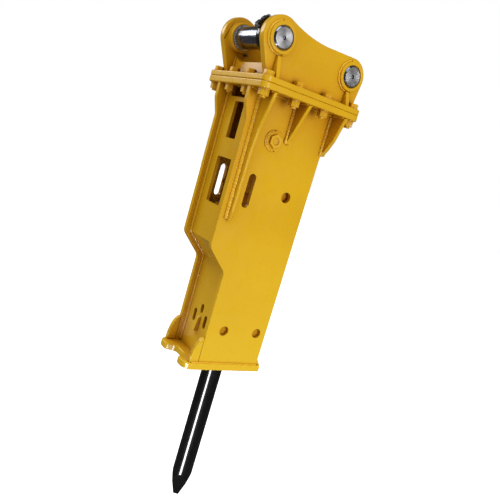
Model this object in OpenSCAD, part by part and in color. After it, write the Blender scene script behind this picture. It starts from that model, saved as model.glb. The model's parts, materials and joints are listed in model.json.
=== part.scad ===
// Hydraulic breaker hammer: box housing, bolted two-pin bracket, percussion unit and chisel.
// Millimetres, +Z up along the chisel, +X along the bracket pins, -Y towards the windowed front.
// Modules are written from the underside of the foot plate on the chisel's axis;
// place() then moves the origin to the centre of the arm pin.

/* [Chisel] */
// Diameter of the chisel
chisel_d = 75; // [60:1:80]
// Length of the chisel below the foot plate
chisel_out = 576; // [400:1:700]
// Height of the ground point
point_h = 99; // [70:1:140]
// Width across the blunt end of the point
point_flat = 20; // [10:1:30]
// Free travel of the chisel
chisel_travel = 38; // [20:1:38]

/* [Housing] */
// Width over the side plates
shell_w = 211; // [205:1:215]
// Thickness of the side plates
side_t = 16; // [14:1:18]
// Thickness of the front and rear plates
face_t = 12; // [10:1:14]
// Height of the housing up to the top of its flange
shell_h = 968; // [960:1:980]
// Distance from the chisel's axis to the upper front edge
front_y = 212; // [205:1:220]
// Distance from the chisel's axis to the lower front edge
low_front_y = 135; // [130:1:140]
// Distance from the chisel's axis to the rear edge
rear_y = 110; // [108:1:114]
// Set-back of the front plate behind the side plates' edges
recess = 22; // [16:1:26]

/* [Flange joint] */
// Width of the two flanges
flange_w = 364; // [350:2:370]
// Front edge of the flanges
flange_front = 234; // [230:1:238]
// Rear edge of the flanges
flange_rear = 162; // [158:1:168]
// Thickness of the housing's flange
flange_t = 20; // [16:1:22]
// Thickness of the bracket's base plate
base_t = 18; // [14:1:20]
// Diameter of the flange bolts
bolt_d = 20; // [18:1:22]

/* [Foot] */
// Width of the foot plate
foot_w = 226; // [220:2:232]
// Thickness of the foot plate
foot_t = 25; // [20:1:28]
// Front edge of the foot plate
foot_front = 190; // [184:1:196]
// Rear edge of the foot plate
foot_rear = 129; // [124:1:134]

/* [Bracket] */
// Diameter of the arm pin
arm_pin_d = 70; // [65:1:72]
// Diameter of the link pin
link_pin_d = 70; // [65:1:72]
// Length of both pins
pin_len = 300; // [296:1:310]
// Inner gap between the ears
ear_gap = 222; // [216:1:226]
// Thickness of each ear
ear_t = 25; // [22:1:28]
// Radius of the front eye
arm_eye_r = 65; // [60:1:68]
// Radius of the rear eye
link_eye_r = 59; // [56:1:62]
// Radius of the saddle between the eyes
saddle_r = 434; // [400:1:470]

/* [Hidden] */
$fn = 64;

paint = "gold";
steel = "silver";
forged = "dimgray";

// Places of the pins, seen from the side as [y, z]
arm_at = [-188, 1105];
link_at = [107, 1081];

// Housing
half_w = shell_w / 2;
inner_w = half_w - side_t;
flange_z = shell_h - flange_t;
flare_front = flange_front - 4;
rear_flare = 24;
rear_flare_z = [806, 872];
front_flare_z = [848, 900];
bend_z = 431;
notch_z = bend_z - (front_y - low_front_y);
face_y = front_y - recess;
low_face_y = low_front_y - recess;
gusset_h = 92;
heel_h = 24;
drain_r = 9.5;
point_turn = 55;
slot_at = [-130, 636];
slot_w = 27;
slot_len = 114;
side_hole_at = [21, 643];
side_hole_d = 37;
port_at = [-92, 811];
port_bore_d = 34;
locator_y = 69;
locator_z = 147;
locator_d = 34;
bolt_x = [-156, -52, 52, 156];
bolt_y = [-210, -92, 26, 140];
front_web_y = -187;
rear_web_y = 100;
bolt_sites = [for (x = bolt_x) for (y = bolt_y) if (abs(x) > 100 || y < -200 || y > 130) [x, y]];
base_top = shell_h + base_t;
washer_t = 3;

// Bracket
boss_h = 12;
inner_boss_h = 23;
bush_wall = 5;
boss_wall = 24;
bush_x1 = ear_gap / 2 + ear_t + boss_h - 6;
ear_front_y = -203;
ear_rear_y = 153;
saddle_y = -9;
saddle_z = arm_at[1] + sqrt(pow(arm_eye_r + saddle_r, 2) - pow(saddle_y - arm_at[0], 2));
web_h = 44;
collar_t = 24;
collar_x0 = ear_gap / 2 - inner_boss_h - 3 - collar_t;
collar_bolt_h = 19;
collar_bolt_d = 10;
collar_nut_w = 16;
collar_lean = 50;
lug_w = 40;
lug_h = 29;

// Percussion unit
unit_w = 160;
head_w = 174;
head_z0 = 41;
head_z1 = 330;
cyl_z1 = 720;
back_z1 = 900;
bush_d = 100;
bush_z0 = 110;
upper_bush_z0 = 240;
tool_clear = 0.4;
tool_top = 300;
rod_pin_d = 34;
rod_pin_y = 47;
rod_pin_z = 190;
rod_pin_len = 177;
flat_y = rod_pin_y - rod_pin_d / 2 - 0.5;
tie_at = 62;
tie_d = 26;
piston_nose = tool_top + chisel_travel + 2;
piston_d = 84;
piston_rod_d = 66;
nose_d = 62;
piston_stroke = 80;
slide_clear = 0.35;
valve_y = -122;
valve_z0 = 445;
valve_h = 103;
valve_depth = -unit_w / 2 - 0.1 - (valve_y - 38);
spool_d = 30;
service_port_z = 830;
service_port_x = 32;
service_port_r = 10.5;
keeper_t = 8;

module place() {
    translate([0, -arm_at[0], -arm_at[1]]) children();
}

// Draws a [y, z] outline as a plate between x0 and x0 + t
module side_extrude(x0, t) {
    translate([x0, 0, 0]) rotate([90, 0, 90]) linear_extrude(t) children();
}

// Draws an [x, z] outline as a plate between y0 and y0 + t
module front_extrude(y0, t) {
    translate([0, y0 + t, 0]) rotate([90, 0, 0]) linear_extrude(t) children();
}

module x_cylinder(x0, x1, d) {
    translate([x0, 0, 0]) rotate([0, 90, 0]) cylinder(d = d, h = x1 - x0);
}

module both_sides() {
    children();
    mirror([1, 0, 0]) children();
}

function arc(c, r, a0, a1, n = 16) =
    [for (i = [0:n]) c + r * [cos(a0 + (a1 - a0) * i / n), sin(a0 + (a1 - a0) * i / n)]];

// Point where the line from p touches the circle at c, on the side given by +1 or -1
function touch(c, r, p, side) =
    let (d = norm(p - c), a = atan2(p[1] - c[1], p[0] - c[0]) + side * acos(r / d))
    c + r * [cos(a), sin(a)];

function unit(v) = v / norm(v);

// Rounds corner b of the path a, b, c with radius r
function corner(a, b, c, r, n = 6) =
    r == 0 ? [b] :
    let (
        u = unit(a - b),
        v = unit(c - b),
        half = acos(u * v) / 2,
        centre = b + unit(u + v) * r / sin(half),
        s = b + u * r / tan(half),
        e = b + v * r / tan(half),
        a0 = atan2(s[1] - centre[1], s[0] - centre[0]),
        a1 = atan2(e[1] - centre[1], e[0] - centre[0]),
        turn = a1 - a0 > 180 ? a1 - a0 - 360 : a1 - a0 < -180 ? a1 - a0 + 360 : a1 - a0
    )
    [for (i = [0:n]) centre + r * [cos(a0 + turn * i / n), sin(a0 + turn * i / n)]];

// Polygon from [x, y, radius] corners
module rounded_polygon(pts) {
    n = len(pts);
    flat_pts = [for (p = pts) [p[0], p[1]]];
    polygon([for (i = [0:n - 1])
        each corner(flat_pts[(i + n - 1) % n], flat_pts[i], flat_pts[(i + 1) % n], pts[i][2])]);
}

module rounded_box(x, y0, y1, z0, h, r) {
    translate([0, 0, z0]) linear_extrude(h)
        rounded_polygon([[-x, y0, r], [x, y0, r], [x, y1, r], [-x, y1, r]]);
}

module hex(across, h) {
    cylinder(d = across / cos(30), h = h, $fn = 6);
}

module nipple() {
    hex(11, 6);
    translate([0, 0, 5.9]) cylinder(d = 6, h = 6);
    translate([0, 0, 11]) sphere(d = 7);
}

// ---- Bracket ----

module flange_outline_plate(z0, t) {
    difference() {
        rounded_box(flange_w / 2, -flange_front, flange_rear, z0, t, 20);
        for (p = bolt_sites) translate([p[0], p[1], z0 - 1]) cylinder(d = bolt_d + 2, h = t + 2);
        children();
    }
}

module bracket_base_plate() {
    color(paint) place() flange_outline_plate(shell_h, base_t);
}

module ear_outline() {
    foot_f = [ear_front_y, base_top];
    foot_r = [ear_rear_y, base_top];
    lift = asin((saddle_y - arm_at[0]) / (arm_eye_r + saddle_r));
    translate(arm_at) circle(arm_eye_r);
    translate(link_at) circle(link_eye_r);
    polygon(concat(
        [foot_f, touch(arm_at, arm_eye_r, foot_f, -1), arm_at],
        arc([saddle_y, saddle_z], saddle_r, 270 - lift, 270),
        [link_at + [0, link_eye_r], link_at, touch(link_at, link_eye_r, foot_r, 1), foot_r]
    ));
}

module ear() {
    x0 = ear_gap / 2;
    difference() {
        union() {
            side_extrude(x0, ear_t) ear_outline();
            translate([0, arm_at[0], arm_at[1]])
                x_cylinder(x0 - inner_boss_h, x0 + ear_t + boss_h, arm_pin_d + boss_wall);
            translate([0, link_at[0], link_at[1]])
                x_cylinder(x0 - inner_boss_h, x0 + ear_t + boss_h, link_pin_d + boss_wall);
        }
        translate([0, arm_at[0], arm_at[1]]) eye_bore(arm_pin_d);
        translate([0, link_at[0], link_at[1]]) eye_bore(link_pin_d);
    }
}

// Bore that stops the bush at a lip behind the outer boss face
module eye_bore(pin_d) {
    x0 = ear_gap / 2;
    x_cylinder(x0 - 30, bush_x1, pin_d + 2 * bush_wall);
    x_cylinder(x0 - 30, x0 + 60, pin_d + 1.6);
}

module bracket_ear_right() {
    color(paint) place() ear();
}

module bracket_ear_left() {
    color(paint) place() mirror([1, 0, 0]) ear();
}

module bracket_front_web() {
    x = ear_gap / 2;
    color(paint) place() front_extrude(front_web_y, 15) rounded_polygon([
        [-x, base_top, 0], [x, base_top, 0], [x, base_top + web_h + 20, 0],
        [x - 26, base_top + web_h, 14], [26 - x, base_top + web_h, 14],
        [-x, base_top + web_h + 20, 0]
    ]);
}

module bracket_rear_web() {
    x = ear_gap / 2;
    color(paint) place() front_extrude(rear_web_y, 15) rounded_polygon([
        [-x, base_top, 0], [x, base_top, 0], [x, base_top + web_h, 0], [-x, base_top + web_h, 0]
    ]);
}

// Triangular stiffeners outside the ears, under both bosses
module bracket_gussets() {
    x = ear_gap / 2 + ear_t;
    color(paint) place() both_sides() {
        front_extrude(arm_at[0] - 2, 14)
            polygon([[x, base_top], [x + 32, base_top], [x + boss_h - 2, 1053], [x, 1053]]);
        front_extrude(link_at[0] - 4, 14)
            polygon([[x, base_top], [x + 28, base_top], [x + boss_h - 2, 1032], [x, 1032]]);
    }
}

module bush_ring(pin_d) {
    x0 = ear_gap / 2 - inner_boss_h;
    difference() {
        x_cylinder(x0 - 2, bush_x1, pin_d + 2 * bush_wall);
        x_cylinder(x0 - 5, x0 + 90, pin_d + 0.12);
    }
}

module pin_bushings() {
    color("lightsteelblue") place() both_sides() {
        translate([0, arm_at[0], arm_at[1]]) bush_ring(arm_pin_d);
        translate([0, link_at[0], link_at[1]]) bush_ring(link_pin_d);
    }
}

// Split clamp collar that locks a pin; its two lugs and bolt lean by the given angle
module collar(pin_d, lean) {
    r = pin_d / 2;
    rotate([lean, 0, 0]) difference() {
        union() {
            x_cylinder(collar_x0, collar_x0 + collar_t, pin_d + 26);
            translate([collar_x0, -lug_w / 2, r - 4]) cube([collar_t, lug_w, lug_h + 4]);
        }
        x_cylinder(collar_x0 - 1, collar_x0 + collar_t + 1, pin_d + 0.7);
        translate([collar_x0 - 1, -3, 0]) cube([collar_t + 2, 6, r + lug_h + 1]);
        translate([collar_x0 + collar_t / 2, 30, r + collar_bolt_h]) rotate([90, 0, 0])
            cylinder(d = collar_bolt_d + 0.5, h = 60);
    }
}

module pin_collars() {
    color("black") place() {
        translate([0, arm_at[0], arm_at[1]]) collar(arm_pin_d, collar_lean);
        translate([0, link_at[0], link_at[1]]) collar(link_pin_d, -collar_lean);
    }
}

module collar_bolt(pin_d, lean) {
    rotate([lean, 0, 0])
        translate([collar_x0 + collar_t / 2, 0, pin_d / 2 + collar_bolt_h]) {
            translate([0, -lug_w / 2 - 0.1, 0]) rotate([90, 0, 0]) hex(collar_nut_w, 7);
            translate([0, lug_w / 2 + 11, 0]) rotate([90, 0, 0])
                cylinder(d = collar_bolt_d, h = lug_w + 12);
            translate([0, lug_w / 2 + 8.1, 0]) rotate([90, 0, 0]) hex(collar_nut_w, 8);
        }
}

module collar_bolts() {
    color(forged) place() {
        translate([0, arm_at[0], arm_at[1]]) collar_bolt(arm_pin_d, collar_lean);
        translate([0, link_at[0], link_at[1]]) collar_bolt(link_pin_d, -collar_lean);
    }
}

module bracket_grease_nipple() {
    color(steel) place()
        translate([-ear_gap / 2, arm_at[0] + 33, arm_at[1] - 47]) rotate([0, 90, 0]) nipple();
}

// Round pin with chamfered ends, two seal grooves, and a centre hole in each end
module pin(d, len, groove_x) {
    r = d / 2;
    difference() {
        rotate([0, 90, 0]) rotate_extrude($fn = 96) polygon([
            [0, -len / 2], [r - 4, -len / 2], [r, -len / 2 + 4],
            [r, -groove_x - 4], [r - 2, -groove_x - 4], [r - 2, -groove_x], [r, -groove_x],
            [r, groove_x], [r - 2, groove_x], [r - 2, groove_x + 4], [r, groove_x + 4],
            [r, len / 2 - 4], [r - 4, len / 2], [0, len / 2]
        ]);
        both_sides() x_cylinder(len / 2 - 14, len / 2 + 1, 11);
    }
}

module arm_pin() {
    color(steel) place() translate([0, arm_at[0], arm_at[1]]) pin(arm_pin_d, pin_len, 50);
}

module link_pin() {
    color(steel) place() translate([0, link_at[0], link_at[1]]) pin(link_pin_d, pin_len, 50);
}

// ---- Housing ----

module housing_flange() {
    color(paint) place() flange_outline_plate(flange_z, flange_t)
        translate([0, 0, flange_z - 1]) linear_extrude(flange_t + 2)
            rounded_polygon([[-82, -82, 12], [82, -82, 12], [82, 82, 12], [-82, 82, 12]]);
}

module side_outline() {
    rounded_polygon([
        [-low_front_y, foot_t, 0], [rear_y, foot_t, 0], [rear_y, rear_flare_z[0], 30],
        [rear_y + rear_flare, rear_flare_z[1], 40], [rear_y + rear_flare, flange_z, 0],
        [-flare_front, flange_z, 0],
        [-flare_front, front_flare_z[1], 40], [-front_y, front_flare_z[0], 40],
        [-front_y, bend_z, 34], [-low_front_y, notch_z, 26]
    ]);
}

module side_plate() {
    difference() {
        side_extrude(inner_w, side_t) side_outline();
        for (s = [-1, 1]) translate([0, slot_at[0], slot_at[1] + s * (slot_len - slot_w) / 2])
            x_cylinder(inner_w - 1, half_w + 1, slot_w);
        translate([inner_w - 1, slot_at[0] - slot_w / 2, slot_at[1] - (slot_len - slot_w) / 2])
            cube([side_t + 2, slot_w, slot_len - slot_w]);
        translate([0, side_hole_at[0], side_hole_at[1]]) x_cylinder(inner_w - 1, half_w + 1, side_hole_d);
        for (s = [-1, 1]) translate([0, s * locator_y, locator_z])
            x_cylinder(inner_w - 1, half_w + 1, locator_d + 1);
        translate([0, port_at[0], port_at[1]]) x_cylinder(inner_w - 1, half_w + 1, port_bore_d);
    }
}

module side_plate_right() {
    color(paint) place() side_plate();
}

// The left plate also lets the rod pins out
module side_plate_left() {
    color(paint) place() difference() {
        mirror([1, 0, 0]) side_plate();
        for (s = [-1, 1]) translate([0, s * rod_pin_y, rod_pin_z])
            x_cylinder(-half_w - 1, -inner_w + 1, rod_pin_d + 2);
        translate([0, 0, rod_pin_z]) x_cylinder(-half_w - 1, -inner_w + 1, 12.6);
    }
}

module window(x, z0, z1, r) {
    front_extrude(-front_y, 60) rounded_polygon([[-x, z0, r], [x, z0, r], [x, z1, r], [-x, z1, r]]);
}

// Folded front plate with two windows above and three drain slots below
module front_plate() {
    fold = front_y - low_front_y;
    shift = face_t * tan(22.5);
    fold_z = bend_z + 7;
    color(paint) place() difference() {
        side_extrude(-inner_w, 2 * inner_w) polygon([
            [-low_face_y, foot_t], [-low_face_y, fold_z - fold], [-face_y, fold_z],
            [-face_y, flange_z], [-face_y + face_t, flange_z],
            [-face_y + face_t, fold_z + shift], [-low_face_y + face_t, fold_z - fold + shift],
            [-low_face_y + face_t, foot_t]
        ]);
        window(46, 560, 716, 5);
        window(30, 781, 902, 4);
        window(68, 916, flange_z + 10, 2);
        for (s = [[-40, 124, 172], [40, 124, 172], [0, 168, 202]])
            translate([s[0], 0, 0]) front_extrude(-low_face_y - 5, face_t + 10) {
                translate([-drain_r, s[1] + drain_r]) square([2 * drain_r, s[2] - s[1] - 2 * drain_r]);
                translate([0, s[1] + drain_r]) circle(drain_r);
                translate([0, s[2] - drain_r]) circle(drain_r);
            }
    }
}

// Flat rear plate with a service opening at the hose ports and relief under the flange
module rear_plate() {
    y0 = rear_y - 2 - face_t;
    color(paint) place() difference() {
        front_extrude(y0, face_t)
            polygon([[-inner_w, foot_t], [inner_w, foot_t], [inner_w, flange_z], [-inner_w, flange_z]]);
        front_extrude(y0 - 5, 30)
            rounded_polygon([[-62, 768, 12], [62, 768, 12], [62, 892, 12], [-62, 892, 12]]);
        front_extrude(y0 - 5, 30)
            rounded_polygon([[-40, 420, 12], [40, 420, 12], [40, 520, 12], [-40, 520, 12]]);
        for (x = [-45, 45]) translate([x, y0 - 5, locator_z]) rotate([-90, 0, 0])
            cylinder(d = 16, h = 30);
    }
}

module foot_plate() {
    x = foot_w / 2;
    color(paint) place() difference() {
        linear_extrude(foot_t) rounded_polygon([
            [-x, foot_rear, 12], [-x, -foot_front, 34], [-52, -foot_front, 16],
            [-34, -152, 22], [34, -152, 22], [52, -foot_front, 16],
            [x, -foot_front, 34], [x, foot_rear, 12]
        ]);
        translate([0, 0, -1]) cylinder(d = bush_d + 4, h = foot_t + 2);
    }
}

// Quarter-round gussets on the foot plate in front of the side plates, small heels behind them
module foot_gussets() {
    color(paint) place() both_sides() side_extrude(inner_w, side_t) {
        intersection() {
            translate([-low_front_y, foot_t]) scale([0.38, 1]) circle(gusset_h, $fn = 96);
            translate([-low_front_y - 100, foot_t]) square([100, gusset_h + 10]);
        }
        polygon([[rear_y, foot_t], [foot_rear - 2, foot_t], [rear_y, foot_t + heel_h]]);
    }
}

// Tapered ribs down the outside of the side plates, widest under the flange
module rib(y0, t, outline) {
    front_extrude(y0, t) polygon(outline);
}

module front_ribs() {
    color(paint) place() both_sides() rib(-186, 14, [
        [half_w, flange_z], [half_w + 74, flange_z], [half_w + 68, 925], [half_w + 38, 832],
        [half_w + 28, 760], [half_w + 22, 560], [half_w + 16, 532], [half_w, 526]
    ]);
}

module middle_gussets() {
    color(paint) place() both_sides() rib(-47, 14, [
        [half_w, flange_z], [half_w + 72, flange_z], [half_w + 66, 936], [half_w + 5, 812],
        [half_w, 810]
    ]);
}

module rear_ribs() {
    color(paint) place() both_sides() rib(rear_y - 4, 14, [
        [half_w, flange_z], [half_w + 74, flange_z], [half_w + 60, 912], [half_w + 44, 866],
        [half_w + 23, 830], [half_w + 4, 810], [half_w, 806]
    ]);
}

// Upright wedge welded between the drain slots
module front_lug() {
    color(paint) place() side_extrude(-8, 16)
        polygon([[-low_face_y, 102], [-low_face_y, 160], [-low_face_y - 10, 152], [-low_face_y - 17, 102]]);
}

module flange_bolts() {
    z = flange_z - washer_t - 24;
    color("goldenrod") place() for (p = bolt_sites) translate([p[0], p[1], 0]) {
        translate([0, 0, z]) cylinder(d = bolt_d, h = base_top + washer_t - z + 1, $fn = 40);
        translate([0, 0, base_top + washer_t]) hex(30, 13);
    }
}

module flange_nuts() {
    color("goldenrod") place() for (p = bolt_sites)
        translate([p[0], p[1], flange_z - washer_t - 18]) difference() {
            hex(30, 18);
            translate([0, 0, -1]) cylinder(d = bolt_d + 0.3, h = 20, $fn = 40);
        }
}

module flange_washers() {
    color("goldenrod") place() for (p = bolt_sites) for (z = [base_top, flange_z - washer_t])
        translate([p[0], p[1], z]) difference() {
            cylinder(d = 37, h = washer_t, $fn = 40);
            translate([0, 0, -1]) cylinder(d = bolt_d + 1, h = washer_t + 2, $fn = 40);
        }
}

module port_bosses() {
    color(paint) place() both_sides() translate([0, port_at[0], port_at[1]]) difference() {
        x_cylinder(half_w, half_w + 7, 62);
        x_cylinder(half_w - 1, half_w + 8, 34);
    }
}

// Hexagon plugs that close the side ports
module port_plugs() {
    color("goldenrod") place() both_sides() translate([half_w, port_at[0], port_at[1]])
        rotate([0, 90, 0]) {
            translate([0, 0, -side_t]) cylinder(d = 33.4, h = side_t + 7);
            translate([0, 0, 7]) difference() {
                hex(41, 9);
                translate([0, 0, 4]) cylinder(d = 24, h = 6);
            }
        }
}

// ---- Cushions ----

module upper_damper() {
    color("firebrick") place() difference() {
        rounded_box(76, -76, 76, back_z1 + 0.3, shell_h - back_z1 - 0.6, 8);
        for (x = [-1, 1]) for (y = [-1, 1])
            translate([x * tie_at, y * tie_at, back_z1 - 1]) cylinder(d = 46, h = 40);
        translate([0, 0, back_z1 - 1]) cylinder(d = 44, h = 80);
    }
}

module side_pads() {
    color("firebrick") place() both_sides() for (z = [380, 770])
        translate([unit_w / 2 + 0.2, -55, z]) cube([inner_w - unit_w / 2 - 0.4, 110, 90]);
}

module rear_pads() {
    color("firebrick") place() for (z = [340, 660])
        translate([-50, unit_w / 2 + 0.2, z]) cube([100, rear_y - 2 - face_t - unit_w / 2 - 0.4, 70]);
}

module lower_damper() {
    color("firebrick") place() difference() {
        rounded_box(84, -84, 84, foot_t + 0.2, head_z0 - foot_t - 0.4, 10);
        translate([0, 0, foot_t - 1]) cylinder(d = bush_d + 4, h = 20);
    }
}

// ---- Percussion unit ----

module tie_holes(z0, z1) {
    for (x = [-1, 1]) for (y = [-1, 1])
        translate([x * tie_at, y * tie_at, z0]) cylinder(d = tie_d + 1.5, h = z1 - z0);
}

module back_head() {
    color(forged) place() difference() {
        rounded_box(unit_w / 2, -unit_w / 2, unit_w / 2, cyl_z1 + 0.1, back_z1 - cyl_z1 - 0.1, 8);
        tie_holes(cyl_z1 - 1, back_z1 + 1);
        translate([0, 0, cyl_z1 - 1]) cylinder(d = 76, h = 116);
        for (s = [-1, 1]) translate([s * service_port_x, unit_w / 2 - 18, service_port_z])
            rotate([-90, 0, 0]) cylinder(r = service_port_r, h = 20, $fn = 96);
        translate([0, 0, back_z1 - 20]) cylinder(d = 22, h = 30);
        translate([0, 0, cyl_z1 + 110]) cylinder(d = 8, h = 80);
    }
}

module gas_valve() {
    color("goldenrod") place() {
        translate([0, 0, back_z1 - 19.8]) cylinder(d = 21.6, h = 20);
        translate([0, 0, back_z1]) hex(27, 8);
        translate([0, 0, back_z1 + 7.9]) cylinder(d = 12, h = 10);
    }
}

module gas_valve_cap() {
    color(forged) place() translate([0, 0, back_z1 + 8.2]) difference() {
        cylinder(d = 20, h = 22);
        translate([0, 0, -1]) cylinder(d = 12.6, h = 12);
    }
}

module cylinder_bore() {
    cylinder(d = chisel_d + 5, h = piston_nose + 2);
    cylinder(d = nose_d + 2 * slide_clear, h = cyl_z1 + 10);
    translate([0, 0, 455]) cylinder(d = piston_d + 2 * slide_clear, h = 195);
    translate([0, 0, 649]) cylinder(d = 100, h = 100);
}

module cylinder_body() {
    difference() {
        rounded_box(unit_w / 2, -unit_w / 2, unit_w / 2, head_z1 + 0.1, cyl_z1 - head_z1 - 0.1, 10);
        tie_holes(head_z1 - 1, cyl_z1 + 1);
        cylinder_bore();
        // Waist that lightens the forging between the ends
        for (s = [-1, 1]) translate([s * unit_w / 2, 0, 600]) rotate([90, 0, 0])
            cylinder(d = 36, h = 60, center = true);
        translate([-30, -unit_w / 2 - 1, 560]) cube([60, 13, 60]);
    }
}

// Screwed adjuster that meters oil to the valve
module flow_adjuster() {
    color(steel) place() translate([-66, -unit_w / 2 - 0.1, 636]) rotate([90, 0, 0]) {
        hex(32, 14);
        translate([0, 0, 13.9]) cylinder(d = 22, h = 22);
        translate([0, 0, 35.8]) hex(14, 16);
    }
}

module cylinder_node() {
    color(forged) place() cylinder_body();
}

module seal_carrier() {
    color("goldenrod") place() difference() {
        translate([0, 0, 650]) cylinder(d = 99.4, h = 69.8);
        translate([0, 0, 640]) cylinder(d = piston_rod_d + 2 * slide_clear, h = 90);
        for (z = [664, 684, 702]) translate([0, 0, z]) cylinder(d = piston_rod_d + 11, h = 7);
    }
}

module piston_seals() {
    color("black") place() for (z = [664, 684, 702]) translate([0, 0, z + 0.4]) difference() {
        cylinder(d = piston_rod_d + 10.6, h = 6.2);
        translate([0, 0, -1]) cylinder(d = piston_rod_d + 0.5, h = 9);
    }
}

module dust_seal() {
    color("black") place() difference() {
        translate([0, 0, head_z0 + 0.3]) cylinder(d = bush_d - 0.4, h = 9);
        translate([0, 0, head_z0 - 1]) cylinder(d = chisel_d + 0.9, h = 12);
    }
}

// Stepped piston that strikes the chisel
module piston() {
    z = piston_nose;
    color(steel) place() rotate_extrude($fn = 96) polygon([
        [0, z], [nose_d / 2 - 3, z], [nose_d / 2, z + 3], [nose_d / 2, z + 125],
        [piston_d / 2, z + 130], [piston_d / 2, z + 160], [piston_d / 2 - 4, z + 163],
        [piston_d / 2 - 4, z + 180], [piston_d / 2, z + 183], [piston_d / 2, z + 222],
        [piston_rod_d / 2, z + 226], [piston_rod_d / 2, z + 400], [piston_rod_d / 2 - 3, z + 403],
        [0, z + 403]
    ]);
}

module valve_block() {
    color(forged) place() difference() {
        translate([-52, valve_y - 38, valve_z0]) cube([104, valve_depth, valve_h]);
        translate([0, valve_y, valve_z0 + 14]) cylinder(d = 42, h = valve_h);
    }
}

module valve_sleeve() {
    color(steel) place() translate([0, valve_y, valve_z0 + 14.2]) difference() {
        cylinder(d = 41.8, h = valve_h - 14.4);
        translate([0, 0, 6]) cylinder(d = spool_d + 2 * slide_clear, h = valve_h);
        for (z = [26, 52]) translate([0, 0, z]) difference() {
            cylinder(d = 50, h = 8);
            translate([0, 0, -1]) cylinder(d = 37, h = 10);
        }
    }
}

module valve_spool() {
    color(steel) place() translate([0, valve_y, valve_z0 + 20.6]) difference() {
        rotate_extrude($fn = 64) polygon([
            [0, 0], [13, 0], [15, 2], [15, 20], [11, 22], [11, 36], [15, 38], [15, 58], [13, 60],
            [0, 60]
        ]);
        translate([0, 0, -1]) cylinder(d = 12, h = 45);
    }
}

module valve_cover() {
    color(forged) place() difference() {
        translate([-46, valve_y - 30, valve_z0 + valve_h + 0.1]) cube([92, 60, 14]);
        for (x = [-36, 36]) for (y = [-20, 20])
            translate([x, valve_y + y, valve_z0 + valve_h - 1]) cylinder(d = 9, h = 20);
    }
}

module valve_cover_bolts() {
    color(steel) place() for (x = [-36, 36]) for (y = [-20, 20])
        translate([x, valve_y + y, valve_z0 + valve_h + 0.2]) {
            cylinder(d = 8, h = 14);
            translate([0, 0, 14]) cylinder(d = 13, h = 8);
        }
}

module front_head() {
    color(forged) place() difference() {
        rounded_box(head_w / 2, -head_w / 2, head_w / 2, head_z0, head_z1 - head_z0, 10);
        translate([0, 0, head_z0 - 1]) cylinder(d = bush_d, h = head_z1);
        for (s = [-1, 1]) translate([0, s * rod_pin_y, rod_pin_z])
            x_cylinder(-head_w / 2 - 1, head_w / 2 - 12, rod_pin_d + 1);
        for (s = [-1, 1]) translate([0, s * locator_y, locator_z]) both_sides()
            x_cylinder(54, head_w / 2 + 1, locator_d + 0.4);
        for (x = [-1, 1]) for (y = [-1, 1])
            translate([x * tie_at, y * tie_at, 250]) cylinder(d = tie_d + 1, h = 100);
    }
}

module tool_bush(z0, h) {
    translate([0, 0, z0]) difference() {
        cylinder(d = bush_d - 0.2, h = h);
        translate([0, 0, -1]) cylinder(d = chisel_d + 2 * tool_clear, h = h + 2);
    }
}

module upper_tool_bush() {
    color("peru") place() tool_bush(upper_bush_z0, head_z1 - upper_bush_z0 - 0.2);
}

module lower_tool_bush() {
    color("peru") place() tool_bush(head_z0 + 10, bush_z0 - head_z0);
}

module through_bolts() {
    color(steel) place() for (x = [-1, 1]) for (y = [-1, 1])
        translate([x * tie_at, y * tie_at, 252]) cylinder(d = tie_d, h = back_z1 + 30 - 252);
}

module through_bolt_nuts() {
    color(steel) place() for (x = [-1, 1]) for (y = [-1, 1])
        translate([x * tie_at, y * tie_at, back_z1 + 0.1]) difference() {
            hex(38, 24);
            translate([0, 0, -1]) cylinder(d = tie_d + 0.3, h = 30);
        }
}

// Pins that tie the front head to the side plates; their ends show in the plates' holes
module locating_pins() {
    color(steel) place() both_sides() for (s = [-1, 1])
        translate([0, s * locator_y, locator_z]) x_cylinder(54.5, inner_w + 1, locator_d);
}

module head_grease_nipple() {
    color(steel) place() translate([0, -head_w / 2, 232]) rotate([90, 0, 0]) scale(0.7) nipple();
}

// ---- Chisel and its retainer ----

// Four ground faces meet in a blunt square end
module point_cut() {
    lean = atan((chisel_d / 2 - point_flat / 2) / point_h);
    translate([0, 0, -chisel_out]) for (a = [0:90:270]) rotate([0, 0, a + point_turn])
        translate([point_flat / 2, -100, 0]) rotate([0, lean, 0])
            translate([0, 0, -60]) cube([100, 200, point_h + 160]);
}

module chisel() {
    r = chisel_d / 2;
    z0 = rod_pin_z - rod_pin_d / 2 - chisel_travel - 2;
    z1 = rod_pin_z + rod_pin_d / 2 + 0.4;
    color("black") place() difference() {
        rotate_extrude($fn = 96) polygon([
            [0, -chisel_out], [r, -chisel_out], [r, tool_top - 4], [r - 4, tool_top], [0, tool_top]
        ]);
        for (s = [-1, 1]) translate([-50, s > 0 ? flat_y : -flat_y - 40, z0])
            cube([100, 40, z1 - z0]);
        point_cut();
    }
}

module rod_pins() {
    color(steel) place() for (s = [-1, 1]) translate([0, s * rod_pin_y, rod_pin_z])
        x_cylinder(-half_w + 1, -half_w + 1 + rod_pin_len, rod_pin_d - 1);
}

module keeper_plate() {
    color(paint) place() difference() {
        side_extrude(-half_w - keeper_t - 0.4, keeper_t) translate([0, rod_pin_z])
            rounded_polygon([[-60, -22, 10], [60, -22, 10], [60, 22, 10], [-60, 22, 10]]);
        translate([0, 0, rod_pin_z]) x_cylinder(-half_w - 20, -half_w + 1, 13);
    }
}

module keeper_bolts() {
    color(steel) place() translate([0, 0, rod_pin_z]) {
        x_cylinder(-half_w - keeper_t - 1, -inner_w - 1, 12);
        translate([-half_w - keeper_t - 8.4, 0, 0]) rotate([0, 90, 0]) hex(19, 8);
    }
}

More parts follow.
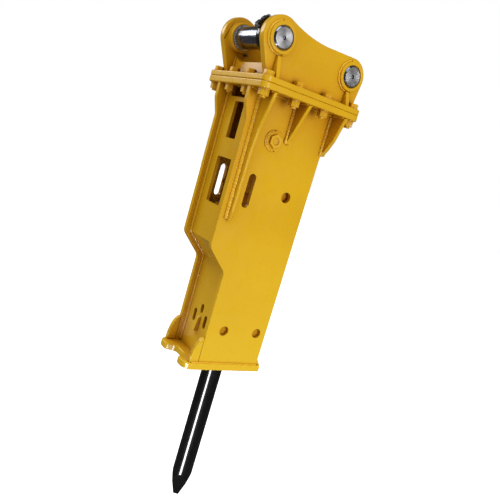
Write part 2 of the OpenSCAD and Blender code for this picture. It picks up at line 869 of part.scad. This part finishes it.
bracket_base_plate();
bracket_ear_right();
bracket_ear_left();
bracket_front_web();
bracket_rear_web();
bracket_gussets();
pin_bushings();
pin_collars();
collar_bolts();
bracket_grease_nipple();
arm_pin();
link_pin();
housing_flange();
side_plate_right();
side_plate_left();
front_plate();
rear_plate();
foot_plate();
foot_gussets();
front_ribs();
middle_gussets();
rear_ribs();
front_lug();
flange_bolts();
flange_nuts();
flange_washers();
port_bosses();
port_plugs();
upper_damper();
side_pads();
rear_pads();
lower_damper();
back_head();
gas_valve();
gas_valve_cap();
cylinder_node();  // cylinder
flow_adjuster();
seal_carrier();
piston_seals();
dust_seal();
piston();
valve_block();
valve_sleeve();
valve_spool();
valve_cover();
valve_cover_bolts();
front_head();
upper_tool_bush();
lower_tool_bush();
through_bolts();
through_bolt_nuts();
locating_pins();
head_grease_nipple();
chisel();
rod_pins();
keeper_plate();
keeper_bolts();
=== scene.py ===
"""Looks of the hydraulic breaker hammer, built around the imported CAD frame. Metres."""
import json
import math

import bmesh
import bpy
from mathutils import Matrix, Vector


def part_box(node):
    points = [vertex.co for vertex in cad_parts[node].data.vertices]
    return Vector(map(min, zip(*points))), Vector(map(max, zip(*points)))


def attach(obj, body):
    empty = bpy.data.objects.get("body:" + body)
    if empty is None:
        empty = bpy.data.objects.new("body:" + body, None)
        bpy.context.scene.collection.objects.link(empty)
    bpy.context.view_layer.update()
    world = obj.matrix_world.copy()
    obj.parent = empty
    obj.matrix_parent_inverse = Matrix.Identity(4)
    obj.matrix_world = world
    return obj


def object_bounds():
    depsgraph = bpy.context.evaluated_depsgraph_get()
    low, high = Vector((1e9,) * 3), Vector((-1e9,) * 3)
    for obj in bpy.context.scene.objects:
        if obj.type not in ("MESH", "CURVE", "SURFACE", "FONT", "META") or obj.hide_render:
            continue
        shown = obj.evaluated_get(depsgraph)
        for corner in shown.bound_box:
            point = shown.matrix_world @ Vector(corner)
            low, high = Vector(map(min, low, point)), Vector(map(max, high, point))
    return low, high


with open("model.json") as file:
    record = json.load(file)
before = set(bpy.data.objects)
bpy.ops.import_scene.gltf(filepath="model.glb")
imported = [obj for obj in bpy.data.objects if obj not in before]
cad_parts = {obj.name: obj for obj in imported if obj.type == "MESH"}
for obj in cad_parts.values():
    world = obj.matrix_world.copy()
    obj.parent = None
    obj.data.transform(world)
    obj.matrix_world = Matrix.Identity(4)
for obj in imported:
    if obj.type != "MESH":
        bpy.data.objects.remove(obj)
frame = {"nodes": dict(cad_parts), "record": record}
cad_low, cad_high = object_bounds()

BREAKER = "breaker"
X, Y, Z = Vector((1, 0, 0)), Vector((0, 1, 0)), Vector((0, 0, 1))
scene = bpy.context.scene
scene.view_settings.view_transform = "Standard"


# ---------------------------------------------------------------- shader helpers

class Graph:
    """A material's node tree with short calls to add and link nodes."""

    def __init__(self, name):
        self.material = bpy.data.materials.new(name)
        self.material.use_nodes = True
        self.tree = self.material.node_tree
        self.shader = self.tree.nodes["Principled BSDF"]
        self.coords = self.add("ShaderNodeTexCoord").outputs["Object"]

    def add(self, kind, **settings):
        node = self.tree.nodes.new(kind)
        for key, value in settings.items():
            setattr(node, key, value)
        return node

    def link(self, output, socket):
        self.tree.links.new(output, socket)

    def set(self, **values):
        """Sets constant numbers and colours on the shader's own sockets."""
        for key, value in values.items():
            self.shader.inputs[key.replace("_", " ")].default_value = value

    def noise(self, scale, detail=4.0, rough=0.5, stretch=(1, 1, 1)):
        mapping = self.add("ShaderNodeMapping")
        mapping.inputs["Scale"].default_value = stretch
        self.link(self.coords, mapping.inputs["Vector"])
        node = self.add("ShaderNodeTexNoise")
        node.inputs["Scale"].default_value = scale
        node.inputs["Detail"].default_value = detail
        node.inputs["Roughness"].default_value = rough
        self.link(mapping.outputs["Vector"], node.inputs["Vector"])
        return node.outputs["Fac"]

    def height(self):
        node = self.add("ShaderNodeSeparateXYZ")
        self.link(self.coords, node.inputs["Vector"])
        return node.outputs["Z"]

    def ramp(self, fac, low, high, at=(0.35, 0.65)):
        node = self.add("ShaderNodeValToRGB")
        for element, place, colour in zip(node.color_ramp.elements, at, (low, high)):
            element.position = place
            element.color = (*colour, 1) if len(colour) == 3 else colour
        self.link(fac, node.inputs["Fac"])
        return node.outputs["Color"]

    def spread(self, fac, low, high, at=(0.3, 0.7)):
        """Maps a 0 to 1 value to low..high."""
        node = self.add("ShaderNodeMapRange")
        for key, value in zip(("From Min", "From Max", "To Min", "To Max"), (*at, low, high)):
            node.inputs[key].default_value = value
        self.link(fac, node.inputs["Value"])
        return node.outputs["Result"]

    def mix(self, fac, a, b):
        node = self.add("ShaderNodeMix", data_type="RGBA")
        for socket, value in ((node.inputs["Factor"], fac), (node.inputs[6], a), (node.inputs[7], b)):
            if isinstance(value, bpy.types.NodeSocket):
                self.link(value, socket)
            else:
                socket.default_value = (*value, 1) if isinstance(value, tuple) else value
        return node.outputs[2]

    def bump(self, height, strength, distance, under=None):
        node = self.add("ShaderNodeBump")
        node.inputs["Strength"].default_value = strength
        node.inputs["Distance"].default_value = distance
        self.link(height, node.inputs["Height"])
        if under:
            self.link(under, node.inputs["Normal"])
        return node.outputs["Normal"]

    def crevice(self, reach):
        node = self.add("ShaderNodeAmbientOcclusion", samples=6)
        node.inputs["Distance"].default_value = reach
        return node.outputs["AO"]

    def finish(self, colour, rough, normal):
        self.link(colour, self.shader.inputs["Base Color"])
        self.link(rough, self.shader.inputs["Roughness"])
        self.link(normal, self.shader.inputs["Normal"])
        return self.material


# ---------------------------------------------------------------- materials

# Painted light: the housing's paint turns lighter and more lemon down this span of heights, standing
# for more light low down
PAINTED_LOW_LIGHT = (0.90, 0.60, 0.030)
PAINTED_LIGHT_SPAN = (-1.1, -0.55)

# Painted shade: half-enclosed places turn to a red-brown shade tone, and dust and painted shade darken
# a corner's paint by a factor
HALF_SHADE_TONE = (0.66, 0.29, 0.006)
CORNER_DUST_AND_SHADE = (0.42, 0.30, 0.2)
CORNER_REACH = 0.03
HALF_SHADE_REACH = 0.20


def enamel(name, light, dark, deep_shade, peel=1.0, dust_and_shade=0.55, low_light_share=0.0):
    """Sprayed enamel: tone drift, orange peel, dust and painted shade in the corners, painted red-brown
    shade in half-enclosed and deep places, and a painted lighter tone towards the bottom where the
    caller asks for it.
    """
    g = Graph(name)
    tone = g.ramp(g.noise(3.0, 3.0), dark, light, (0.3, 0.62))
    fine = g.noise(38.0, 5.0, 0.6)
    tone = g.mix(g.spread(fine, 0.0, 0.22), tone, dark)
    # Painted light: lighter, more lemon tone towards the bottom
    tone = g.mix(g.spread(g.height(), low_light_share, 0.0, PAINTED_LIGHT_SPAN), tone, PAINTED_LOW_LIGHT)
    # Dust and painted shade: ambient occlusion darkens the paint in corners and joints
    shade = tuple(c * k for c, k in zip(dark, CORNER_DUST_AND_SHADE))
    corner = g.spread(g.crevice(CORNER_REACH), dust_and_shade, 0.0, (0.25, 0.85))
    tone = g.mix(corner, tone, shade)
    depth = g.crevice(HALF_SHADE_REACH)
    # Painted shade: half-enclosed places turn to a red-brown shade tone
    tone = g.mix(g.spread(depth, 0.65, 0.0, (0.45, 0.95)), tone, HALF_SHADE_TONE)
    # Painted shade: the deepest places turn to the dark deep-shade colour
    tone = g.mix(g.spread(depth, 0.92, 0.0, (0.05, 0.42)), tone, deep_shade)
    rough = g.spread(g.noise(22.0, 4.0), 0.22, 0.36)
    waves = g.bump(g.noise(55.0, 2.0), 0.06 * peel, 0.002)
    normal = g.bump(g.noise(420.0, 2.0), 0.10 * peel, 0.0006, waves)
    g.set(Coat_Weight=0.25, Coat_Roughness=0.08, Specular_IOR_Level=0.25)
    return g.finish(tone, rough, normal)


def turned_metal(name, light, dark, rough=(0.12, 0.28), rings=(1, 1, 1), grain=0.12, metallic=1.0):
    """Ground or turned steel with fine directional lines and faint handling marks."""
    g = Graph(name)
    lines = g.noise(60.0, 3.0, 0.6, rings)
    cloud = g.noise(9.0, 4.0)
    tone = g.mix(g.spread(cloud, 0.0, 0.5), g.ramp(lines, dark, light), dark)
    roughness = g.spread(lines, *rough)
    g.set(Metallic=metallic)
    return g.finish(tone, roughness, g.bump(lines, grain, 0.0004))


def black_lacquer(name):
    """Glossy black coat over hardened steel, with faint lengthwise grinding lines."""
    g = Graph(name)
    lines = g.noise(90.0, 3.0, 0.6, (1, 1, 0.04))
    scuff = g.noise(30.0, 6.0, 0.7)
    tone = g.mix(g.spread(scuff, 0.0, 0.7, (0.55, 0.8)), (0.003, 0.003, 0.003), (0.008, 0.008, 0.007))
    g.set(Coat_Weight=1.0, Coat_Roughness=0.03, Specular_IOR_Level=0.1)
    return g.finish(tone, g.spread(scuff, 0.3, 0.45), g.bump(lines, 0.05, 0.0003))


def elastomer(name, light, dark):
    """Cast polyurethane or rubber: satin, slightly mottled, fine pitting."""
    g = Graph(name)
    pits = g.noise(320.0, 4.0, 0.6)
    tone = g.mix(g.spread(g.noise(14.0, 4.0), 0.0, 1.0), light, dark)
    g.set(Specular_IOR_Level=0.35, Sheen_Weight=0.05)
    return g.finish(tone, g.spread(pits, 0.45, 0.62), g.bump(pits, 0.2, 0.0006))


# Painted shade: the paint's colour in deep places
DEEP_SHADE_TONE = (0.13, 0.020, 0.002)

MATERIALS = {
    # Only the housing paint gets the painted lighter tone towards the bottom.
    "housing_paint": enamel("housing_enamel", (0.77, 0.465, 0.010), (0.65, 0.365, 0.008), DEEP_SHADE_TONE,
                            low_light_share=0.9),
    "painted_fasteners": enamel("fastener_enamel", (0.80, 0.49, 0.02), (0.66, 0.37, 0.012), DEEP_SHADE_TONE,
                                peel=1.4),
    "pin_steel": turned_metal("pin_gunmetal", (0.44, 0.47, 0.55), (0.24, 0.26, 0.31), (0.14, 0.26),
                              (0.5, 3, 3), grain=0.05),
    "bushing_steel": turned_metal("bushing_steel", (0.78, 0.79, 0.82), (0.45, 0.46, 0.50),
                                  (0.2, 0.35), (0.3, 4, 4), metallic=0.6),
    "black_steel": black_lacquer("black_lacquer"),
    "fastener_steel": turned_metal("zinc_steel", (0.55, 0.55, 0.56), (0.30, 0.30, 0.31),
                                   (0.3, 0.5)),
    "machined_steel": turned_metal("ground_steel", (0.66, 0.66, 0.68), (0.42, 0.42, 0.45)),
    # The third colour is the cell paint's painted shade tone for deep places.
    "forged_steel": enamel("cell_enamel", (0.95, 0.40, 0.020), (0.78, 0.28, 0.012),
                           (0.46, 0.13, 0.008), peel=2.5),
    "bronze": turned_metal("bronze", (0.62, 0.42, 0.20), (0.40, 0.24, 0.10), (0.25, 0.4)),
    "damper": elastomer("polyurethane", (0.30, 0.05, 0.03), (0.18, 0.03, 0.02)),
    "seal": elastomer("seal_rubber", (0.03, 0.03, 0.03), (0.015, 0.015, 0.015)),
}
# Painted highlight: weld beads get a lighter copy of the housing paint, standing for the light their
# rounded tops catch, and no darkened corners.
BEAD_LIT_PAINT = enamel("bead_lit_enamel", (0.92, 0.58, 0.035), (0.80, 0.46, 0.018), DEEP_SHADE_TONE,
                    peel=1.6, dust_and_shade=0.0)
FACED_STEEL = turned_metal("faced_steel", (0.62, 0.62, 0.65), (0.36, 0.36, 0.38), (0.30, 0.42),
                           metallic=0.75)


# ---------------------------------------------------------------- CAD nodes: finish and edges

# Width of the rounded edges of each CAD node, in millimetres
EDGE = {
    "bracket_ear_right": 2.5, "bracket_ear_left": 2.5, "bracket_base_plate": 3.5,
    "housing_flange": 3.5, "foot_plate": 5.0, "foot_gussets": 3.0, "front_ribs": 5.0,
    "middle_gussets": 4.0, "rear_ribs": 4.0, "bracket_front_web": 1.5, "bracket_rear_web": 1.5,
    "bracket_gussets": 1.5, "front_lug": 1.5, "flange_bolts": 0.8, "flange_nuts": 0.8,
    "port_plugs": 1.5, "port_bosses": 2.0, "keeper_plate": 1.0, "pin_collars": 1.0,
    "front_head": 1.5, "back_head": 1.5, "cylinder": 1.5, "valve_block": 1.5, "chisel": 0.8,
}
SAME_POINT = 1e-5
FLAT_ANGLE = 0.5
SHARP_ANGLE = 40
SLOTS = {part["node"]: part["material_slot"] for part in frame["record"]["subparts"]}


def finish_node(name, obj):
    """Gives a CAD node its material, and rounds its sharp edges if EDGE lists it."""
    obj.data.materials.clear()
    obj.data.materials.append(MATERIALS[SLOTS[name]])
    if name in EDGE:
        weld = obj.modifiers.new("weld", "WELD")
        weld.merge_threshold = SAME_POINT
        flat = obj.modifiers.new("flat", "DECIMATE")
        flat.decimate_type = "DISSOLVE"
        flat.angle_limit = math.radians(FLAT_ANGLE)
        bevel = obj.modifiers.new("edge", "BEVEL")
        bevel.use_clamp_overlap = False
        bevel.width = EDGE[name] / 1000
        bevel.segments = 3
        bevel.limit_method = "ANGLE"
        bevel.angle_limit = math.radians(SHARP_ANGLE)
        bevel.harden_normals = True


for node_name, node_object in frame["nodes"].items():
    finish_node(node_name, node_object)


# ---------------------------------------------------------------- added pieces

def new_piece(name, mesh, slot, body=BREAKER, look=None):
    """A smooth piece that rides on a body, in its slot's material or a look of its own."""
    piece = bpy.data.objects.new(name, mesh)
    scene.collection.objects.link(piece)
    piece.data.materials.append(look or MATERIALS[slot])
    for face in piece.data.polygons:
        face.use_smooth = True
    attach(piece, body)
    return piece


# Radius of each weld bead
BEAD = {
    "rib_front": 0.009, "gusset_front": 0.007, "rib_back": 0.005, "rib_top": 0.0036,
    "flange": 0.0045, "foot": 0.0040, "rear_corner": 0.0035, "rear_foot": 0.006,
    "rear_top": 0.005, "ear_foot": 0.0048, "boss": 0.0042, "web_foot": 0.004,
    "web_side": 0.0036, "port": 0.0036, "front_corner": 0.005,
}
BEAD_STEP = 0.0035
BEAD_SIDES = 8
BEAD_TIP = 0.45
BEAD_SEAM = Y + 0.3 * Z
# A bead's centre line stands this far off the plates, and stops short of a corner by INSET
OFF = 0.001
INSET = 0.004


def bead_points(path, closed=False):
    """Evenly spaced points along a polyline."""
    points = [Vector(p) for p in path]
    if closed:
        points.append(points[0])
    spaced = []
    for a, b in zip(points, points[1:]):
        count = max(1, round((b - a).length / BEAD_STEP))
        spaced += [a.lerp(b, i / count) for i in range(count)]
    return spaced if closed else spaced + [points[-1]]


def add_bead(mesh, path, radius, closed=False):
    """Adds a weld bead to a bmesh: a tube whose radius swells once per ripple."""
    points = bead_points(path, closed)
    total = len(points)
    rings = []
    for i, point in enumerate(points):
        ahead = points[(i + 1) % total] if closed else points[min(i + 1, total - 1)]
        behind = points[i - 1] if closed or i else points[0]
        along = (ahead - behind).normalized()
        side = along.orthogonal().normalized()
        up = along.cross(side)
        swell = radius * (1 + 0.13 * math.sin(i * 2.1) + 0.05 * math.sin(i * 0.61))
        if not closed and i in (0, total - 1):
            swell *= BEAD_TIP
        turn = math.atan2(side.cross(BEAD_SEAM).dot(along), side.dot(BEAD_SEAM))
        ring = []
        for k in range(BEAD_SIDES):
            angle = turn + 2 * math.pi * k / BEAD_SIDES
            ring.append(mesh.verts.new(point + swell * (math.cos(angle) * side + math.sin(angle) * up)))
        rings.append(ring)
    pairs = list(zip(rings, rings[1:])) + ([(rings[-1], rings[0])] if closed else [])
    for a, b in pairs:
        for k in range(BEAD_SIDES):
            j = (k + 1) % BEAD_SIDES
            mesh.faces.new((a[k], a[j], b[j], b[k]))
    if not closed:
        mesh.faces.new(rings[0][::-1])
        mesh.faces.new(rings[-1])


def bead_piece(name, runs):
    """One object from several bead runs of (path, radius, closed)."""
    mesh = bmesh.new()
    for path, radius, closed in runs:
        add_bead(mesh, path, radius, closed)
    bmesh.ops.recalc_face_normals(mesh, faces=mesh.faces)
    data = bpy.data.meshes.new(name)
    mesh.to_mesh(data)
    mesh.free()
    return new_piece(name, data, "housing_paint", look=BEAD_LIT_PAINT)


def ring_path(centre, radius, count=40):
    """Circle in the YZ plane."""
    return [centre + radius * Vector((0, math.cos(a), math.sin(a)))
            for a in (2 * math.pi * i / count for i in range(count))]


def both(points):
    """The path and its mirror image across X = 0."""
    return [[Vector(p) for p in points], [Vector((-p[0], p[1], p[2])) for p in points]]


def corners(node):
    """A CAD node's own vertices."""
    return [v.co for v in frame["nodes"][node].data.vertices]


def corners_at(node, height):
    """A CAD node's own vertices within a millimetre of a height."""
    return [p for p in corners(node) if abs(p.z - height) < 0.001]


plate_low, plate_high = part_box("side_plate_right")
foot_low, foot_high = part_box("foot_plate")
outer = plate_high.x
inner = plate_low.x
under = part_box("housing_flange")[0].z
base_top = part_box("bracket_base_plate")[1].z
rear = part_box("rear_plate")[1].y


def rib_welds():
    """Beads down both sides of every rib, and across its top under the flange."""
    runs = []
    for node, bottom, front_radius in (("front_ribs", 0.006, BEAD["rib_front"]),
                                       ("middle_gussets", 0.004, BEAD["gusset_front"]),
                                       ("rear_ribs", 0.004, BEAD["gusset_front"])):
        low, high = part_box(node)
        for y, radius in ((low.y - OFF, front_radius), (high.y + OFF, BEAD["rib_back"])):
            for path in both([(outer + OFF, y, low.z + bottom), (outer + OFF, y, under - 2 * OFF)]):
                runs.append((path, radius, False))
            for path in both([(outer + INSET, y, under - OFF), (high.x - 0.006, y, under - OFF)]):
                runs.append((path, BEAD["rib_top"], False))
    return bead_piece("rib_weld_beads", runs)


def plate_welds():
    """Beads where the side plates meet the flange, the foot plate and the rear plate."""
    runs = []
    for path in both([(outer + OFF, plate_low.y + INSET, under - OFF),
                      (outer + OFF, plate_high.y - INSET, under - OFF)]):
        runs.append((path, BEAD["flange"], False))
    for path in both([(outer + OFF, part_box("foot_gussets")[0].y + 0.006, foot_high.z + OFF),
                      (outer + OFF, rear + OFF, foot_high.z + OFF)]):
        runs.append((path, BEAD["foot"], False))
    for path in both([(inner, rear, foot_high.z + 0.01), (inner, rear, under - 0.01)]):
        runs.append((path, BEAD["rear_corner"], False))
    reach = inner - INSET
    for z, radius in ((foot_high.z, BEAD["rear_foot"]), (under, BEAD["rear_top"])):
        runs.append(([(-reach, rear, z), (reach, rear, z)], radius, False))
    return bead_piece("plate_weld_beads", runs)


BOSS_WALL = 0.012


def ear_welds():
    """Beads round the foot of the ears and round their bosses."""
    runs = []
    top = base_top + OFF
    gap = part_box("bracket_front_web")[1].x
    foot = corners_at("bracket_ear_right", base_top)
    ear_out = max(p.x for p in foot)
    front_y = min(p.y for p in foot)
    rear_y = max(p.y for p in foot)
    for x, start, end in ((ear_out + OFF, front_y, rear_y),
                          (gap - OFF, front_y + 0.02, rear_y - 0.03)):
        for path in both([(x, start, top), (x, end, top)]):
            runs.append((path, BEAD["ear_foot"], False))
    for pin in ("arm_pin", "link_pin"):
        low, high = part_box(pin)
        centre = (low + high) / 2
        radius = (high.z - low.z) / 2 + BOSS_WALL
        for side in (-1, 1):
            centre.x = side * (ear_out + OFF)
            runs.append((ring_path(centre, radius + OFF), BEAD["boss"], True))
    for web in ("bracket_front_web", "bracket_rear_web"):
        low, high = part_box(web)
        for y in (low.y - OFF, high.y + OFF):
            runs.append(([(low.x + INSET, y, top), (high.x - INSET, y, top)], BEAD["web_foot"], False))
            for path in both([(gap - OFF, y, top), (gap - OFF, y, high.z - INSET)]):
                runs.append((path, BEAD["web_side"], False))
    return bead_piece("bracket_weld_beads", runs)


def port_welds():
    """Beads round the two port bosses."""
    low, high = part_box("port_bosses")
    centre = (low + high) / 2
    runs = []
    for side in (-1, 1):
        ring = Vector((side * (outer + OFF), centre.y, centre.z))
        runs.append((ring_path(ring, (high.z - low.z) / 2 + OFF / 2), BEAD["port"], True))
    return bead_piece("port_weld_beads", runs)


def front_plate_welds():
    """Beads in the corner where the set-back front plate meets the side plates."""
    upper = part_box("front_plate")[0].y
    lower = min(p.y for p in corners_at("front_plate", foot_high.z))
    bend = min(p.z for p in corners("front_plate") if p.y < upper + 0.001)
    fold = bend - (lower - upper)
    runs = []
    for path in both([(inner - OFF, upper - OFF, under - 3 * OFF), (inner - OFF, upper - OFF, bend),
                      (inner - OFF, lower - OFF, fold),
                      (inner - OFF, lower - OFF, foot_high.z + INSET)]):
        runs.append((path, BEAD["front_corner"], False))
    return bead_piece("front_weld_beads", runs)


# Faced end of a pin: rings cut round a bore, and a grease point as (depth, radius) pairs
RIDGE_PITCH = 0.0022
RIDGE_HEIGHT = 0.00012
RIDGE_STEPS = 6
LATHE_SIDES = 64
RIM_MARGIN = 0.005
BORE_RADIUS = 0.0062
FACE_DEPTH = 0.001
GREASE_POINT = [(0.0138, 0.0001), (0.0138, 0.0036), (0.006, 0.0036), (0.0052, 0.0026),
                (0.0042, 0.0034), (0.0026, 0.0031), (0.0016, 0.0018), (0.0014, 0.0001)]


def lathe(mesh, axis_at, side, profile):
    """Turns a closed profile of (x, radius) about the X axis through axis_at."""
    rings = []
    for x, radius in profile:
        ring = []
        for k in range(LATHE_SIDES):
            angle = 2 * math.pi * k / LATHE_SIDES
            offset = Vector((side * x, radius * math.cos(angle), radius * math.sin(angle)))
            ring.append(mesh.verts.new(Vector((0, axis_at.y, axis_at.z)) + offset))
        rings.append(ring)
    for a, b in zip(rings, rings[1:] + rings[:1]):
        for k in range(LATHE_SIDES):
            j = (k + 1) % LATHE_SIDES
            mesh.faces.new((a[k], a[j], b[j], b[k]))


def pin_ends(pin):
    """Facing-cut rings and a recessed grease point in both ends of a pin."""
    low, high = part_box(pin)
    centre = (low + high) / 2
    end = high.x
    rim = (high.z - low.z) / 2 - RIM_MARGIN
    width = rim - BORE_RADIUS
    steps = round(width / RIDGE_PITCH * RIDGE_STEPS)
    face = []
    for i in range(steps + 1):
        wave = math.cos(2 * math.pi * i / RIDGE_STEPS)
        face.append((end + RIDGE_HEIGHT * (1 + wave), BORE_RADIUS + width * i / steps))
    ring = [(end - FACE_DEPTH, BORE_RADIUS)] + face + [(end - FACE_DEPTH, rim)]
    point = [(end - depth, radius) for depth, radius in GREASE_POINT]
    mesh = bmesh.new()
    for side in (-1, 1):
        lathe(mesh, centre, side, ring)
        lathe(mesh, centre, side, point)
    bmesh.ops.recalc_face_normals(mesh, faces=mesh.faces)
    data = bpy.data.meshes.new(pin + "_ends")
    mesh.to_mesh(data)
    mesh.free()
    new_piece(pin + "_ends", data, "pin_steel", pin, FACED_STEEL)


pin_ends("arm_pin")
pin_ends("link_pin")
rib_welds()
plate_welds()
ear_welds()
port_welds()
front_plate_welds()


# ---------------------------------------------------------------- stage, light, camera

def emission(name, strength, colour=(1, 1, 1)):
    material = bpy.data.materials.new(name)
    material.use_nodes = True
    shader = material.node_tree.nodes["Principled BSDF"]
    shader.inputs["Base Color"].default_value = (*colour, 1)
    shader.inputs["Roughness"].default_value = 0.9
    shader.inputs["Emission Color"].default_value = (*colour, 1)
    shader.inputs["Emission Strength"].default_value = strength
    return material


def plane(name, size, place, facing, material):
    bpy.ops.mesh.primitive_plane_add(size=size, location=place)
    obj = bpy.context.object
    obj.name = name
    obj.rotation_mode = "QUATERNION"
    obj.rotation_quaternion = Vector(facing).to_track_quat("Z", "Y")
    obj.data.materials.append(material)
    return obj


def area_light(name, azimuth, elevation, distance, size, power, target=None, gloss_only=False):
    """Softbox in a direction seen from the target: azimuth 0 is the front, 90 the right side."""
    a, e = math.radians(azimuth), math.radians(elevation)
    target = target or (cad_low + cad_high) / 2
    away = Vector((math.sin(a) * math.cos(e), -math.cos(a) * math.cos(e), math.sin(e)))
    data = bpy.data.lights.new(name, "AREA")
    data.shape = "RECTANGLE"
    data.size, data.size_y = size
    data.energy = power
    lamp = bpy.data.objects.new(name, data)
    scene.collection.objects.link(lamp)
    lamp.location = target + away * distance
    lamp.rotation_mode = "QUATERNION"
    lamp.rotation_quaternion = away.to_track_quat("Z", "Y")
    lamp.visible_camera = False
    lamp.visible_diffuse = not gloss_only


FLOOR_DROP = 0.35
floor_z = cad_low.z - FLOOR_DROP
floor = plane("floor", 60, (0, 0, floor_z), (0, 0, 1), emission("floor_white", 1.0, (0.97, 0.97, 0.97)))
floor.visible_glossy = False
floor.visible_diffuse = False

world = bpy.data.worlds.new("studio")
world.use_nodes = True
scene.world = world


ROOM = (0.07, 0.07, 0.075, 1)
WARM_FILL = (1.0, 0.90, 0.72, 1)
FILL_STRENGTH = 0.48
WHITE = (1, 1, 1, 1)


def fill_world():
    """White backdrop and soft warm fill, with a dimmer studio seen in polished metal."""
    tree = world.node_tree
    fill = tree.nodes["Background"]
    fill.inputs["Color"].default_value = WARM_FILL
    fill.inputs["Strength"].default_value = FILL_STRENGTH
    backdrop = tree.nodes.new("ShaderNodeBackground")
    backdrop.inputs["Color"].default_value = WHITE
    backdrop.inputs["Strength"].default_value = 1.0
    room = tree.nodes.new("ShaderNodeBackground")
    room.inputs["Color"].default_value = ROOM
    room.inputs["Strength"].default_value = 1.0
    rays = tree.nodes.new("ShaderNodeLightPath")
    seen = tree.nodes.new("ShaderNodeMixShader")
    lit = tree.nodes.new("ShaderNodeMixShader")
    link = tree.links.new
    link(rays.outputs["Is Glossy Ray"], lit.inputs["Fac"])
    link(fill.outputs[0], lit.inputs[1])
    link(room.outputs[0], lit.inputs[2])
    link(rays.outputs["Is Camera Ray"], seen.inputs["Fac"])
    link(lit.outputs[0], seen.inputs[1])
    link(backdrop.outputs[0], seen.inputs[2])
    link(seen.outputs[0], tree.nodes["World Output"].inputs["Surface"])


fill_world()

area_light("right", 97, 6, 3.2, (1.3, 2.0), 49, Vector((0, 0.1, -0.85)))
area_light("left", -60, 18, 3.2, (1.2, 1.4), 29, Vector((0, 0, 0)))
area_light("top", 20, 62, 3.2, (2.0, 2.0), 25)
area_light("rear", 205, 25, 3.2, (2.0, 2.0), 14)
area_light("strip", 45, -20, 0.9, (0.27, 0.9), 25, Vector((0, 0.19, -1.4)), gloss_only=True)

AZIMUTH, ELEVATION, ROLL = 54.9, 10.56, 16.48
CAMERA_DISTANCE = 2.34519
chisel_low, chisel_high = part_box("chisel")
AIM = Vector((-0.20975, (chisel_low.y + chisel_high.y) / 2 + 0.17554, foot_low.z + 0.33187))
FOCAL = 41.41008
SENSOR = 36
SHIFT_Y = 0.024


def add_camera():
    a, e = math.radians(AZIMUTH), math.radians(ELEVATION)
    back = Vector((math.sin(a) * math.cos(e), -math.cos(a) * math.cos(e), math.sin(e)))
    data = bpy.data.cameras.new("camera")
    data.lens = FOCAL
    data.sensor_width = SENSOR
    data.shift_y = SHIFT_Y
    camera = bpy.data.objects.new("camera", data)
    scene.collection.objects.link(camera)
    camera.location = AIM + back * CAMERA_DISTANCE
    forward = -back
    right = forward.cross(Z).normalized()
    up = right.cross(forward)
    roll = math.radians(ROLL)
    x_axis = right * math.cos(roll) + up * math.sin(roll)
    y_axis = up * math.cos(roll) - right * math.sin(roll)
    camera.rotation_mode = "QUATERNION"
    camera.rotation_quaternion = Matrix((x_axis, y_axis, back)).transposed().to_quaternion()
    scene.camera = camera


add_camera()
